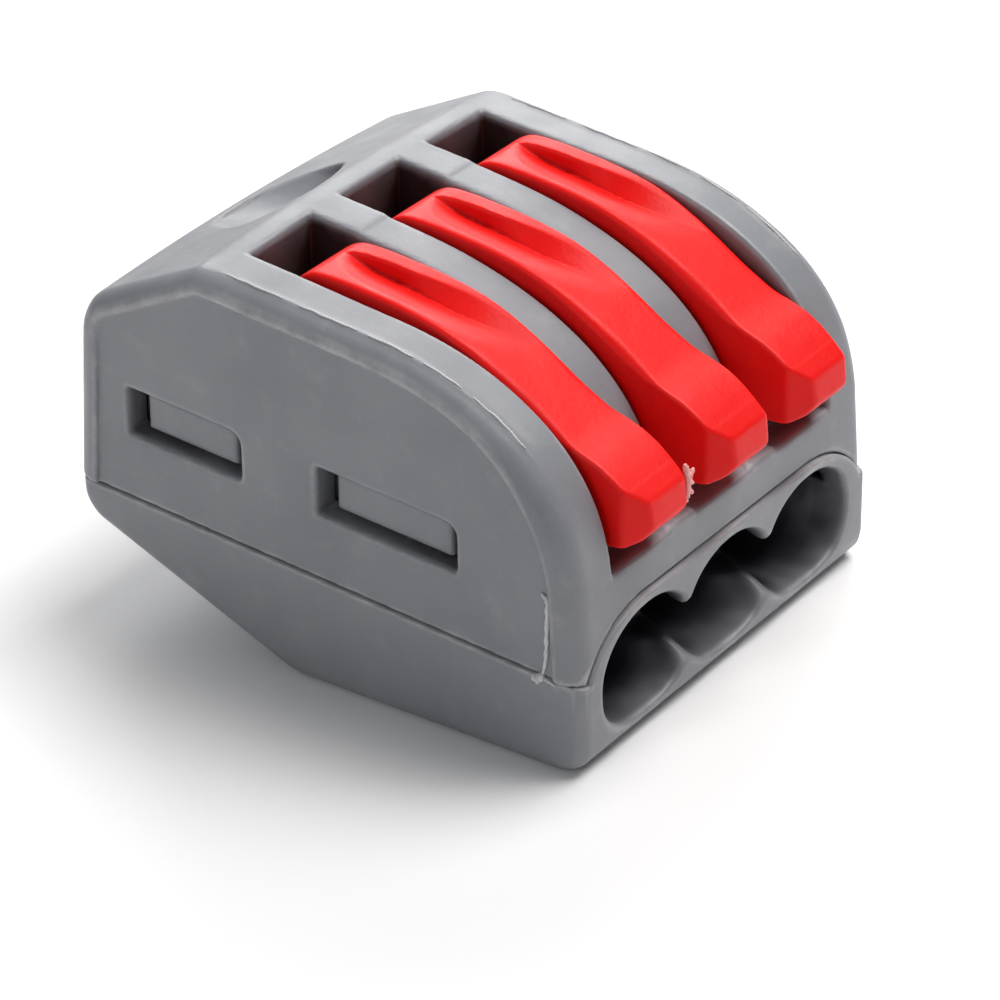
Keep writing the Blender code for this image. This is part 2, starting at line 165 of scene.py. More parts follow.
def fillet(points, radius, steps=6):
    """A closed outline with each corner cut back by up to radius and rounded."""
    rounded = []
    for i, corner in enumerate(points):
        here = np.array(corner)
        ends = [np.array(points[i - 1]), np.array(points[(i + 1) % len(points)])]
        reach = min([radius] + [0.45 * np.linalg.norm(end - here) for end in ends])
        first, last = [here + (end - here) / np.linalg.norm(end - here) * reach for end in ends]
        for step in range(steps + 1):
            t = step / steps
            rounded.append(tuple((1 - t) ** 2 * first + 2 * t * (1 - t) * here + t * t * last))
    return rounded


def spline(points, steps=8):
    """A smooth open curve through points."""
    ends = [points[0], *points, points[-1]]
    curve = []
    for p0, p1, p2, p3 in zip(ends, ends[1:], ends[2:], ends[3:]):
        p0, p1, p2, p3 = (np.array(p) for p in (p0, p1, p2, p3))
        for step in range(steps):
            t = step / steps
            value = 2 * p1 + (p2 - p0) * t + (2 * p0 - 5 * p1 + 4 * p2 - p3) * t * t
            value += (3 * p1 - p0 - 3 * p2 + p3) * t ** 3
            curve.append(tuple(value / 2))
    return curve + [tuple(points[-1])]


def polygon(points, us, vs):
    """Signed distance to a closed outline on the grid of us by vs, negative inside."""
    u, v = us[:, None], vs[None, :]
    best = np.full((len(us), len(vs)), 1e9)
    inside = np.zeros(best.shape, bool)
    for (u0, v0), (u1, v1) in zip(points, points[1:] + points[:1]):
        du, dv = u1 - u0, v1 - v0
        if abs(du) + abs(dv) < 1e-9:
            continue
        t = np.clip(((u - u0) * du + (v - v0) * dv) / (du * du + dv * dv), 0, 1)
        best = np.minimum(best, np.hypot(u - u0 - t * du, v - v0 - t * dv))
        if dv:
            inside ^= ((v0 > v) != (v1 > v)) & (u < du * (v - v0) / dv + u0)
    return np.where(inside, -best, best).astype(np.float32)


# --- Distance fields ------------------------------------------------------------------------------

class Field:
    """A distance field sampled on a grid, negative inside the material."""

    def __init__(self, low, high, step):
        self.low = np.array(low, np.float64)
        self.step = step
        counts = [int(round((b - a) / step)) + 1 for a, b in zip(low, high)]
        self.x, self.y, self.z = (a + step * np.arange(n) for a, n in zip(low, counts))
        self.gx = self.x[:, None, None].astype(np.float32)
        self.gy = self.y[None, :, None].astype(np.float32)
        self.gz = self.z[None, None, :].astype(np.float32)
        self.value = np.full(counts, 1e3, np.float32)

    def side(self, points):
        """An outline seen from the side, as a field that is the same at every x."""
        return polygon(points, self.y, self.z)[None, :, :]

    def front(self, points):
        """An outline seen from the front, as a field that is the same at every y."""
        return polygon(points, self.x, self.z)[:, None, :]

    def join(self, shape, soft=0.0):
        self.value = -soft_max(-self.value, -shape, soft)

    def cut(self, shape, soft=0.0):
        self.value = soft_max(self.value, -shape, soft)

    def sample(self, points):
        """Field values at points, by linear interpolation."""
        place = (points - self.low) / self.step
        cell = np.clip(np.floor(place).astype(int), 0, np.array(self.value.shape) - 2)
        part = place - cell
        total = np.zeros(len(points))
        for corner in np.ndindex(2, 2, 2):
            weight = np.prod(np.where(corner, part, 1 - part), axis=1)
            i, j, k = (cell + corner).T
            total += weight * self.value[i, j, k]
        return total


def soft_max(a, b, soft):
    """The larger of two fields, blended where they differ by less than soft."""
    top = np.maximum(a, b)
    if np.any(soft):
        near = np.maximum(soft - np.abs(a - b), 0)
        top = top + near * near / (4 * soft)
    return top.astype(np.float32)


def rounded(a, b, radius):
    """Where two fields overlap, with the edge between them rounded."""
    a, b = a + radius, b + radius
    return np.minimum(np.maximum(a, b), 0) + np.hypot(np.maximum(a, 0), np.maximum(b, 0)) - radius


def net(field):
    """Vertices and quads of the zero level of a field."""
    value = field.value
    inside = value < 0
    filled = np.zeros([n - 1 for n in value.shape], np.uint8)
    for i, j, k in np.ndindex(2, 2, 2):
        filled += inside[i:i + filled.shape[0], j:j + filled.shape[1], k:k + filled.shape[2]]
    active = (filled > 0) & (filled < 8)
    cells = np.argwhere(active)
    index = np.full(filled.shape, -1, np.int64)
    index[active] = np.arange(len(cells))
    total = np.zeros((len(cells), 3))
    count = np.zeros(len(cells))
    quads = []
    for axis in range(3):
        along = np.eye(3, dtype=int)[axis]
        u, v = (np.eye(3, dtype=int)[(axis + n) % 3] for n in (1, 2))
        for m, n in np.ndindex(2, 2):
            start = cells + m * u + n * v
            a = value[tuple(start.T)]
            b = value[tuple((start + along).T)]
            crossing = (a < 0) != (b < 0)
            t = np.where(crossing, a / np.where(crossing, a - b, 1), 0)
            total += crossing[:, None] * (m * u + n * v + t[:, None] * along)
            count += crossing
        first = np.take(inside, range(value.shape[axis] - 1), axis)
        last = np.take(inside, range(1, value.shape[axis]), axis)
        edges = np.argwhere(first != last)
        across = edges[:, [(axis + 1) % 3, (axis + 2) % 3]]
        limit = np.array([value.shape[(axis + 1) % 3], value.shape[(axis + 2) % 3]]) - 1
        edges = edges[((across > 0) & (across < limit)).all(axis=1)]
        ring = [index[tuple((edges - offset).T)] for offset in (u + v, v, 0 * u, u)]
        ring = np.stack(ring, axis=1)
        outward = first[tuple(edges.T)]
        ring[~outward] = ring[~outward][:, ::-1]
        quads.append(ring)
    return field.low + (cells + total / count[:, None]) * field.step, np.concatenate(quads)


def hidden(field, points, normals):
    """How much of the view outwards from each point is blocked within a few millimetres, 0 to 1."""
    blocked = np.zeros(len(points))
    total = np.zeros(len(points))
    top = np.array(field.value.shape) - 1
    for ray in range(RAYS):
        z = 1 - (2 * ray + 1) / RAYS
        turn = ray * math.pi * (3 - math.sqrt(5))
        way = np.array((math.cos(turn) * math.sqrt(1 - z * z), math.sin(turn) * math.sqrt(1 - z * z), z))
        weight = np.maximum(normals @ way, 0)
        facing = weight > 0.05
        start = points[facing] + RAY_LIFT * normals[facing]
        hit = np.zeros(len(start))
        for far in RAY_STOPS:
            cell = np.clip(np.rint((start + far * way - field.low) / field.step).astype(int), 0, top)
            solid = np.clip(0.5 - field.value[tuple(cell.T)] / (2.5 * field.step), 0, 1)
            hit = np.maximum(hit, solid)
        blocked[facing] += hit * weight[facing]
        total[facing] += weight[facing]
    return blocked / np.maximum(total, 1e-6)


def smoothed(mesh, values, rounds):
    """Vertex values averaged with their neighbours a few times."""
    ends = np.empty(len(mesh.edges) * 2, np.int32)
    mesh.edges.foreach_get("vertices", ends)
    a, b = ends.reshape(-1, 2).T
    count = 1 + np.bincount(a, minlength=len(values)) + np.bincount(b, minlength=len(values))
    for _ in range(rounds):
        total = values + np.bincount(a, values[b], len(values)) + np.bincount(b, values[a], len(values))
        values = total / count
    return values


def flat_weighted(mesh):
    """Vertex normals in which each face counts by its area, so that broad flats stay flat."""
    mesh.calc_loop_triangles()
    corners = np.empty(len(mesh.loop_triangles) * 3, np.int32)
    mesh.loop_triangles.foreach_get("vertices", corners)
    corners = corners.reshape(-1, 3)
    co = np.empty(len(mesh.vertices) * 3)
    mesh.vertices.foreach_get("co", co)
    a, b, c = (co.reshape(-1, 3)[corners[:, n]] for n in range(3))
    cross = np.cross(b - a, c - a)
    total = np.zeros((len(mesh.vertices), 3))
    for n in range(3):
        np.add.at(total, corners[:, n], cross)
    return total / np.maximum(np.linalg.norm(total, axis=1), 1e-12)[:, None]


def moulded(name, field, triangles, offsets=(0.0,)):
    """Mesh objects in metres made from a field, one at each offset along x.

    Their points carry how near an edge or a groove they are and how deep in a cavity, for the materials.
    """
    points, quads = net(field)
    mesh = bpy.data.meshes.new(name)
    mesh.vertices.add(len(points))
    mesh.vertices.foreach_set("co", points.ravel())
    mesh.loops.add(quads.size)
    mesh.loops.foreach_set("vertex_index", quads.ravel())
    mesh.polygons.add(len(quads))
    mesh.polygons.foreach_set("loop_start", np.arange(len(quads)) * 4)
    mesh.update(calc_edges=True)
    scratch = bpy.data.objects.new(name, mesh)
    bpy.context.scene.collection.objects.link(scratch)
    if 2 * len(quads) > triangles:
        thin = scratch.modifiers.new("thin", "DECIMATE")
        thin.ratio = triangles / (2 * len(quads))
        on_line = np.floor((points - field.low) / field.step + 0.01).astype(int) % HOLD_CELLS == 0
        hold = scratch.vertex_groups.new(name="hold")
        hold.add(np.flatnonzero(on_line.sum(axis=1) >= 2).tolist(), 1.0, "REPLACE")
        thin.vertex_group = "hold"
        thin.invert_vertex_group = True
        thin.vertex_group_factor = 1.0
    graph = bpy.context.evaluated_depsgraph_get()
    final = bpy.data.meshes.new_from_object(scratch.evaluated_get(graph))
    bpy.data.objects.remove(scratch)
    bpy.data.meshes.remove(mesh)

    co = np.empty(len(final.vertices) * 3)
    final.vertices.foreach_get("co", co)
    co = co.reshape(-1, 3)
    normal = np.empty(len(final.vertices) * 3)
    final.vertex_normals.foreach_get("vector", normal)
    normal = normal.reshape(-1, 3)
    width = np.abs(co[:, 0])
    # Paler near edges: partly wear, partly a painted highlight.
    edge = np.clip((field.sample(co - normal * EDGE_REACH) + EDGE_REACH) / EDGE_REACH, 0, 1)
    # Darker in grooves and cavities: painted shade.
    groove = np.clip((EDGE_REACH - field.sample(co + normal * EDGE_REACH)) / EDGE_REACH, 0, 1)
    groove *= np.where(width > SILL_FROM, SILL_SHADE, 1.0)
    deep = hidden(field, co, normal) * np.clip((CAVITY_SHADE_TO - width) / CAVITY_SHADE_FADE, 0, 1)
    deep = smoothed(final, deep, CAVITY_SHADE_ROUNDS)
    for label, values in (("edge", edge), ("groove", groove), ("deep", deep)):
        attribute = final.attributes.new(label, "FLOAT", "POINT")
        attribute.data.foreach_set("value", values.astype(np.float32))
    final.polygons.foreach_set("use_smooth", np.ones(len(final.polygons), bool))

    made = []
    for number, offset in enumerate(offsets, 1):
        data = final if len(offsets) == 1 else final.copy()
        shifted = (co + (offset, 0, 0)) * MM
        data.vertices.foreach_set("co", shifted.ravel())
        data.update()
        data.normals_split_custom_set_from_vertices(flat_weighted(data))
        label = name if len(offsets) == 1 else f"{name}_{number}"
        obj = bpy.data.objects.new(label, data)
        bpy.context.scene.collection.objects.link(obj)
        made.append(obj)
    return made


# --- Upper housing --------------------------------------------------------------------------------

def upper_outline():
    """Side outline of the cover above the parting line, with its corners still to be rounded."""
    rear = [(REAR_Y + 0.15, 0.0), (10.4, 11.3), (9.95, 12.2), (5.45, 14.45), (4.9, 14.48)]
    return [*rear, *bezier(CHEEK_CURVE), (-10.25, 2.0), (-10.25, 0.0)]


def window(rear, front, low, high, corner):
    """A latch window or its tab, parallel to the parting line."""
    points = [(rear, parting(rear) + low), (front, parting(front) + low),
              (front, parting(front) + high), (rear, parting(rear) + high)]
    corners = (0.1, corner / 3, corner, 0.12)
    return [p for i, reach in enumerate(corners) for p in fillet(points, reach)[i * 7:i * 7 + 7]]


def collar_outline(gap):
    """Front collar round the three funnels: straight along the top, with rounded ends."""
    half_width, half_height = (value + gap for value in COLLAR_HALF)
    right = [(PITCH + half_width * math.cos(a), FUNNEL_HEIGHT + half_height * math.sin(a))
             for a in np.linspace(0.0, math.pi / 2, 40)]
    left = [(-x, z) for x, z in right[::-1]]
    return [*left, (-PITCH - half_width, 2.0), (PITCH + half_width, 2.0), *right]


def seam(f, size):
    """A size along the parting line that shrinks where the seam closes near the wire entries."""
    return size * np.clip((f.gy + 8.9) / 0.5, 0.25, 1.0)


def make_upper(step):
    f = Field((-9.3, -10.7, 3.0), (9.3, 11.3, 14.9), step)
    outline = fillet(upper_outline(), 0.5)
    flat = polygon(outline, f.y, f.z)
    rise = np.clip((f.z - CROWN_FROM) / CROWN_BLEND, 0, 1)
    body = np.empty_like(f.value)
    for i, x in enumerate(f.x):
        place = (f.z + TOP_CROWN * (x / HALF_WIDTH) ** 2 * rise - f.z[0]) / step
        low = np.clip(place.astype(int), 0, len(f.z) - 2)
        part = place - low
        body[i] = flat[:, low] * (1 - part) + flat[:, low + 1] * part
    f.value = rounded(body, np.abs(f.gx) - HALF_WIDTH, SIDE_ROUND).astype(np.float32)
    f.cut(f.gz - PARTING_HEIGHT - PARTING_SLOPE * f.gy, seam(f, SEAM_SOFT))

    width = np.abs(f.gx)
    witness_fade = np.interp(f.y, (-8.6, -7.6, 3.6, 5.0), (0, 1, 0.7, 0))[None, :, None]
    witness_line = np.exp(-((width - WITNESS_X) / 0.1) ** 2) * witness_fade
    f.value -= (0.05 * witness_line * (f.gz > 8.0)).astype(np.float32)
    panel_side = np.maximum(flat[None] + RIM_WIDTH, PARTING_HEIGHT - 1.5 + PARTING_SLOPE * f.gy - f.gz)
    blur = np.interp(f.z, (9.5, 11.5), (0.1, 0.45))[None, None, :]
    f.cut(np.maximum(panel_side, PANEL_HALF_WIDTH - width), blur)
    for rear, front in WINDOWS:
        hole = f.side(window(rear, front, WINDOW_LOW, WINDOW_HIGH, 0.5))
        f.cut(np.maximum(hole, WINDOW_DEPTH_TO - width), 0.24)

    inside = [(COLLAR_REAR, 0.0), (COLLAR_REAR, DECK_UNDERSIDE), (DECK_REAR, DECK_UNDERSIDE),
              (DECK_REAR, CAVITY_ROOF), (9.2, CAVITY_ROOF), (9.5, 0.0)]
    f.cut(np.maximum(f.side(inside), width - CAVITY_HALF))
    attic = [(5.8, CAVITY_ROOF - 0.2), (5.8, 12.3), (8.7, 11.2), (9.1, CAVITY_ROOF - 0.2)]
    f.cut(np.maximum(f.side(attic), width - CAVITY_HALF + 0.1))
    seat = f.front(collar_outline(GAP / 3))
    f.cut(np.maximum(seat, f.gy - COLLAR_REAR - GAP), 0.08)

    above = [(2.4, 16.0), (2.4, 14.24), *bezier(PARTITION_CURVE), *DECK_LINE[2:], (-11.5, 16.0)]
    f.cut(rounded(f.side(above), width - CHEEK_INNER, 0.05), 0.3)
    slot = [(SLOT_REAR, 16.0), (SLOT_REAR, CAVITY_ROOF - 0.3), (DECK_REAR + 0.1, CAVITY_ROOF - 0.3),
            *DECK_LINE, (-11.5, 16.0)]
    slot_side = f.side(slot)
    bearing = arc(HINGE, BEARING_RADIUS, 0.0, 180.0)
    bearing += [(HINGE[0] + side * BEARING_RADIUS, CAVITY_ROOF - 0.5) for side in (-1, 1)]
    bearing_side = f.side(bearing)
    for pole in POLES:
        off = np.abs(f.gx - pole)
        f.cut(np.maximum(slot_side, off - SLOT_HALF), 0.28)
        f.cut(np.maximum(bearing_side, off - BEARING_HALF))
    dish(f)
    return f


def dish(f):
    """Test-probe recess under the ridge: a scooped pocket, deepest at its lip, that runs out to the rear."""
    floor = [(PROBE_LIP, 15.5), (PROBE_LIP, 12.95), (6.2, 12.72), (7.4, 12.6), (9.3, 12.35), (9.3, 15.5)]
    across = (f.gx - PROBE_CENTRE) / PROBE_HALF
    scoop = f.side(fillet(floor, 0.25)) + 0.85 * across * across
    f.cut(rounded(scoop, np.abs(f.gx - PROBE_CENTRE) - PROBE_HALF, 0.3), 0.1)


# --- Lower housing --------------------------------------------------------------------------------

def make_lower(step):
    f = Field((-9.2, -10.6, -0.3), (9.2, 11.2, 9.5), step)
    width = np.abs(f.gx)
    outline = [(10.65, 6.5), (10.6, 4.3), (10.4, 3.85), (10.0, 3.45), (KEEL, 0.0), (-9.2, 0.0),
               (-9.75, 0.16), (-10.12, 0.5), (FRONT_FACE, 1.0), (FRONT_FACE, 6.5)]
    f.value = rounded(f.side(fillet(outline, 0.5)), width - LOWER_HALF_WIDTH, BASE_ROUND).astype(np.float32)
    f.cut(PARTING_HEIGHT - seam(f, GAP / 2) + PARTING_SLOPE * f.gy - f.gz, seam(f, SEAM_SOFT))
    collar = f.front(collar_outline(0.0))
    f.join(rounded(collar, np.maximum(FRONT_FACE - f.gy, f.gy - COLLAR_REAR + 0.1), 0.12))
    block_y, block_z = (np.abs(grid - middle) for grid, middle in zip((f.gy, f.gz), FUNNEL_BLOCK_CENTRE))
    half_x, half_y, half_z = FUNNEL_BLOCK_HALF
    f.join(np.maximum(np.maximum(width - half_x, block_y - half_y), block_z - half_z))
    skirt = [(DECK_REAR - 0.6, 2.5), (SKIRT_REAR, 3.5), (SKIRT_REAR, SKIRT_TOP),
             (DECK_REAR + 0.15, SKIRT_TOP), (DECK_REAR + 0.15, 4.8), (DECK_REAR - 0.6, 4.8)]
    f.join(rounded(f.side(skirt), np.maximum(SKIRT_INNER - width, width - SKIRT_OUTER), 0.08))
    for rear, front in WINDOWS:
        tab = f.side(window(rear - 0.55, front + 0.4, WINDOW_LOW + 0.2, WINDOW_HIGH - 0.1, 0.4))
        f.join(rounded(tab, np.maximum(7.3 - width, width - TAB_FACE), 0.2))
    between_ends = np.maximum(DECK_REAR - f.gy, f.gy - SKIRT_REAR)
    f.cut(np.maximum(np.maximum(width - SKIRT_INNER, between_ends), 4.6 - f.gz))
    pocket = [(DECK_REAR, 7.0), (DECK_REAR, POCKET_FLOOR), (KEEL, POCKET_FLOOR),
              (SKIRT_REAR, POCKET_FLOOR + (SKIRT_REAR - KEEL) * 0.42), (SKIRT_REAR, 7.0)]
    pocket_side = f.side(pocket)
    for pole in POLES:
        f.cut(np.maximum(pocket_side, np.abs(f.gx - pole) - POCKET_HALF))
        f.cut(funnel(f, pole), 0.25)
    between = [(-10.7, 1.35), (-10.2, 1.5), (-9.6, 1.95), (-9.0, 2.1), (-7.7, 2.1), (-7.7, 4.6), (-9.2, 4.6),
               (-9.5, 3.7), (-9.9, 3.3), (-10.7, 3.1)]
    f.cut(rounded(f.side(fillet(between, 0.3)), width - 4.5, 0.2), 0.3)
    return f


def funnel(f, pole):
    """Flared wire entry that narrows to a round throat. Its lower half is squarer than its upper half."""
    blend = np.interp(f.y, (-10.4, -9.9, -9.0, -8.2, -7.4, -6.9), (1.06, 0.97, 0.72, 0.38, 0.1, 0))
    half_width, half_height = (THROAT_RADIUS + (half - THROAT_RADIUS) * blend for half in MOUTH_HALF)
    half_width, half_height, blend = (v[None, :, None] for v in (half_width, half_height, blend))
    upper, lower = MOUTH_POWERS
    power = 2.0 + (np.where(f.gz > FUNNEL_HEIGHT, upper, lower) - 2.0) * blend
    across = np.abs(f.gx - pole) / half_width
    up = np.abs(f.gz - FUNNEL_HEIGHT) / half_height
    reach = (across ** power + up ** power) ** (1 / power)
    return np.maximum((reach - 1) * half_height, f.gy - DECK_REAR - 0.3).astype(np.float32)


# --- Levers ---------------------------------------------------------------------------------------

LEVER_TOP = [(3.0, 13.5), (2.75, 13.8), (2.35, 14.05), (1.9, 14.16), (1.0, 14.15), (0.0, 14.06),
             (-1.0, 13.95), (-2.1, 13.76), (-3.0, 13.53), (-3.9, 13.2), (-4.8, 12.78), (-5.65, 12.3),
             (-6.5, 11.78), (-7.3, 11.27), (-7.95, 10.87), (-8.5, 10.65), (-9.1, 10.43), (-9.7, 10.08),
             (-10.2, 9.71)]
LEVER_KNOB = [(-10.2, 9.71), (-10.74, 9.24), (-10.84, 8.2), (-10.55, 7.82), (-10.0, 7.55), (-9.1, 7.5)]
KNOB_CHAMFER_FROM = 10.1
LEVER_UNDERSIDE = [(-8.0, 8.05), (-5.0, 9.75), (-1.2, 9.75)]


def cam_outline():
    """Cam under the hub, which clears the spring's arm at every lever angle."""
    points = []
    steps = 40
    reach_y = BOW_CENTRE[0] - HINGE[0]
    reach_z = HINGE[1] - BOW_CENTRE[1]
    for step in range(steps + 1):
        turn = LEVER_OPEN * step / steps
        leg_turn = math.radians(turn * CLAMP_RATIO)
        radius = reach_y * math.sin(leg_turn) + reach_z * math.cos(leg_turn) - BOW_OUTER - CAM_GAP
        angle = math.radians(270.0 + turn * (1.0 + CLAMP_RATIO))
        points.append((HINGE[0] + radius * math.cos(angle), HINGE[1] + radius * math.sin(angle)))
    return points


def eased(at, stations, values, width=0.7):
    """Interpolated values with the corners between stations smoothed over a width."""
    offsets = np.linspace(-width, width, 15)
    weights = 1.05 - np.abs(offsets) / width
    total = sum(w * np.interp(at + offset, stations, values) for w, offset in zip(weights, offsets))
    return (total / weights.sum())[None, :, None]


def make_levers(step):
    """One lever about its own middle, closed: cam, hub, grooved back and a knob with one corner cut back."""
    f = Field((-2.3, -11.2, 6.9), (2.3, 4.6, 14.8), step)
    top = spline(LEVER_TOP)
    knob = [*fillet(LEVER_KNOB, 0.16)[7:-7], LEVER_KNOB[-1]]
    outline = [*cam_outline(), *top, *knob, *LEVER_UNDERSIDE]
    edge = eased(f.y, (-10.8, -10.3, -9.6, -8.3, -7.7, -6.6, -4.5, -3.0),
                 (0.28, 0.2, 0.12, 0.1, 0.32, 0.48, 0.35, 0.25), 0.4)
    width = np.abs(f.gx)
    f.value = rounded(f.side(outline), width - LEVER_HALF, edge).astype(np.float32)
    f.cut((LEVER_HALF + f.gx + KNOB_CHAMFER_FROM + f.gy) / math.sqrt(2.0), 0.12)

    height = np.interp(f.y, [p[0] for p in top[::-1]], [p[1] for p in top[::-1]])[None, :, None]
    stations = (-5.6, -4.75, -3.8, -3.0, -2.1, -1.2, -0.5, 0.3, 1.0, 1.6, 2.2)
    left = eased(f.y, stations, (-1.0, -1.0, -1.1, -1.2, -1.2, -1.2, -1.2, -1.15, -1.0, -0.7, -0.2), 0.4)
    line = eased(f.y, stations, (1.3, 0.78, 0.47, 0.34, 0.34, 0.4, 0.48, 0.54, 0.54, 0.5, 0.45), 0.4)
    right = eased(f.y, stations, (1.5, 1.4, 1.28, 1.12, 0.95, 0.78, 0.7, 0.67, 0.65, 0.6, 0.52), 0.4)
    depth = eased(f.y, stations, (0.0, 0.18, 0.33, 0.45, 0.55, 0.6, 0.6, 0.6, 0.55, 0.38, 0.0), 0.3)
    steep = (f.gx - line) / np.maximum(right - line, 0.05)
    rise = np.where(f.gx < line, (line - f.gx) / (line - left), steep)
    floor = height - depth * (1 - np.clip(rise, 0, 1)) + 0.01
    f.cut((floor - f.gz) * 0.85, 0.06)
    trunnion = np.hypot(f.gy - HINGE[0], f.gz - HINGE[1]) - TRUNNION_RADIUS
    f.join(rounded(trunnion, width - TRUNNION_HALF, 0.1))
    return f


# --- Materials ------------------------------------------------------------------------------------

def nodes_of(mat):
    mat.use_nodes = True
    return mat.node_tree.nodes, mat.node_tree.links


def noise(nodes, links, place, scale, detail=3.0, rough=0.5):
    """Cloudy noise, with its scale in periods per metre."""
    node = nodes.new("ShaderNodeTexNoise")
    node.inputs["Scale"].default_value = scale
    node.inputs["Detail"].default_value = detail
    node.inputs["Roughness"].default_value = rough
    links.new(place, node.inputs["Vector"])
    return node.outputs["Fac"]


def ramp(nodes, links, value, low, high, start=0.0, end=1.0):
    """A value that goes from low to high as its input goes from start to end."""
    node = nodes.new("ShaderNodeMapRange")
    node.inputs["From Min"].default_value = start
    node.inputs["From Max"].default_value = end
    node.inputs["To Min"].default_value = low
    node.inputs["To Max"].default_value = high
    links.new(value, node.inputs["Value"])
    return node.outputs["Result"]


def mix(nodes, links, factor, a, b):
    """A colour between a and b, each a colour or a socket."""
    node = nodes.new("ShaderNodeMix")
    node.data_type = "RGBA"
    links.new(factor, node.inputs["Factor"])
    inputs = [s for s in node.inputs if s.type == "RGBA"]
    for socket, value in zip(inputs, (a, b)):
        if isinstance(value, tuple):
            socket.default_value = (*value, 1.0)
        else:
            links.new(value, socket)
    return [s for s in node.outputs if s.type == "RGBA"][0]


def attribute(nodes, name):
    """A value stored at the mesh's points."""
    node = nodes.new("ShaderNodeAttribute")
    node.attribute_name = name
    return node.outputs["Fac"]


# Noise scales in periods per metre, and bump depths in metres.
CLOUD_SCALE = 260.0
GLOSS_SCALE = 420.0
WAVE_SCALE = 700.0
SCUFF_SCALE = 1100.0
SPECK_SCALE = 5200.0
GRAIN_SCALE = 7000.0
TARNISH_SCALE = 500.0
STREAK_SCALE = 6000.0
STREAK_STRETCH = 0.08
FLOOR_SCALE = 30.0
GRAIN_DEPTH = 0.00002
WAVE_DEPTH = 0.00006


def plastic(name, dark, light, wear_and_highlight, painted_shade, roughness, grain=1.0, shine=0.5, painted_cavity_shade=(0.3, 0.8)):
    """Moulded plastic: cloudy colour, fine grain, edges paler from wear and a painted highlight, and painted
    shade in grooves and cavities.
    """
    mat = bpy.data.materials.new(name)
    nodes, links = nodes_of(mat)
    shader = nodes["Principled BSDF"]
    shader.inputs["Specular IOR Level"].default_value = shine
    place = nodes.new("ShaderNodeTexCoord").outputs["Object"]
    clouds = ramp(nodes, links, noise(nodes, links, place, CLOUD_SCALE, 4.0), 0.0, 1.0, 0.3, 0.7)
    colour = mix(nodes, links, clouds, dark, light)
    speck = ramp(nodes, links, noise(nodes, links, place, SPECK_SCALE, 2.0), 0.0, 0.35, 0.55, 0.8)
    colour = mix(nodes, links, speck, colour, light)
    scuff = ramp(nodes, links, noise(nodes, links, place, SCUFF_SCALE, 5.0, 0.6), 0.0, 0.14, 0.55, 0.75)
    colour = mix(nodes, links, scuff, colour, wear_and_highlight)
    # Edges paled, partly as wear and partly as a painted highlight, broken up by noise.
    breakup = noise(nodes, links, place, SCUFF_SCALE, 5.0, 0.65)
    rub_and_highlight = nodes.new("ShaderNodeMath")
    rub_and_highlight.operation = "MULTIPLY"
    links.new(ramp(nodes, links, attribute(nodes, "edge"), 0.0, 1.0, 0.18, 0.5), rub_and_highlight.inputs[0])
    links.new(ramp(nodes, links, breakup, 0.25, 0.9, 0.35, 0.65), rub_and_highlight.inputs[1])
    colour = mix(nodes, links, rub_and_highlight.outputs[0], colour, wear_and_highlight)
    # Painted shade: grooves and cavities are darkened towards the shade colour.
    shade = ramp(nodes, links, attribute(nodes, "groove"), 0.0, 0.6, 0.15, 0.7)
    colour = mix(nodes, links, shade, colour, painted_shade)
    colour = mix(nodes, links, ramp(nodes, links, attribute(nodes, "deep"), 0.0, 0.98, *painted_cavity_shade), colour, painted_shade)
    links.new(colour, shader.inputs["Base Color"])
    gloss = noise(nodes, links, place, GLOSS_SCALE, 5.0, 0.6)
    links.new(ramp(nodes, links, gloss, roughness - 0.07, roughness + 0.09, 0.3, 0.7),
              shader.inputs["Roughness"])
    fine = nodes.new("ShaderNodeBump")
    fine.inputs["Strength"].default_value = 0.25 * grain
    fine.inputs["Distance"].default_value = GRAIN_DEPTH
    links.new(noise(nodes, links, place, GRAIN_SCALE, 3.0), fine.inputs["Height"])
    wave = nodes.new("ShaderNodeBump")
    wave.inputs["Strength"].default_value = 0.35 * grain
    wave.inputs["Distance"].default_value = WAVE_DEPTH
    links.new(noise(nodes, links, place, WAVE_SCALE, 3.0), wave.inputs["Height"])
    links.new(fine.outputs["Normal"], wave.inputs["Normal"])
    links.new(wave.outputs["Normal"], shader.inputs["Normal"])
    return mat


def metal(name, dark, light, roughness):
    """Plated or rolled metal: drawn streaks, cloudy tarnish and a soft sheen."""
    mat = bpy.data.materials.new(name)
    nodes, links = nodes_of(mat)
    shader = nodes["Principled BSDF"]
    shader.inputs["Metallic"].default_value = 1.0
    place = nodes.new("ShaderNodeTexCoord").outputs["Object"]
    stretch = nodes.new("ShaderNodeMapping")
    stretch.inputs["Scale"].default_value = (1.0, STREAK_STRETCH, 1.0)
    links.new(place, stretch.inputs["Vector"])
    streaks = noise(nodes, links, stretch.outputs["Vector"], STREAK_SCALE, 3.0)
    clouds = ramp(nodes, links, noise(nodes, links, place, TARNISH_SCALE, 4.0), 0.0, 1.0, 0.3, 0.7)
    links.new(mix(nodes, links, clouds, dark, light), shader.inputs["Base Color"])
    links.new(ramp(nodes, links, streaks, roughness - 0.1, roughness + 0.15, 0.3, 0.7),
              shader.inputs["Roughness"])
    bump = nodes.new("ShaderNodeBump")
    bump.inputs["Strength"].default_value = 0.3
    bump.inputs["Distance"].default_value = GRAIN_DEPTH
    links.new(streaks, bump.inputs["Height"])
    links.new(bump.outputs["Normal"], shader.inputs["Normal"])
    return mat


# --- Assembly -------------------------------------------------------------------------------------

def dress(obj, mat, body, node):
    """Give a moulding its material, and let it stand for its CAD node."""
    obj.data.materials.clear()
    obj.data.materials.append(mat)
    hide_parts(node)
    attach(obj, body)
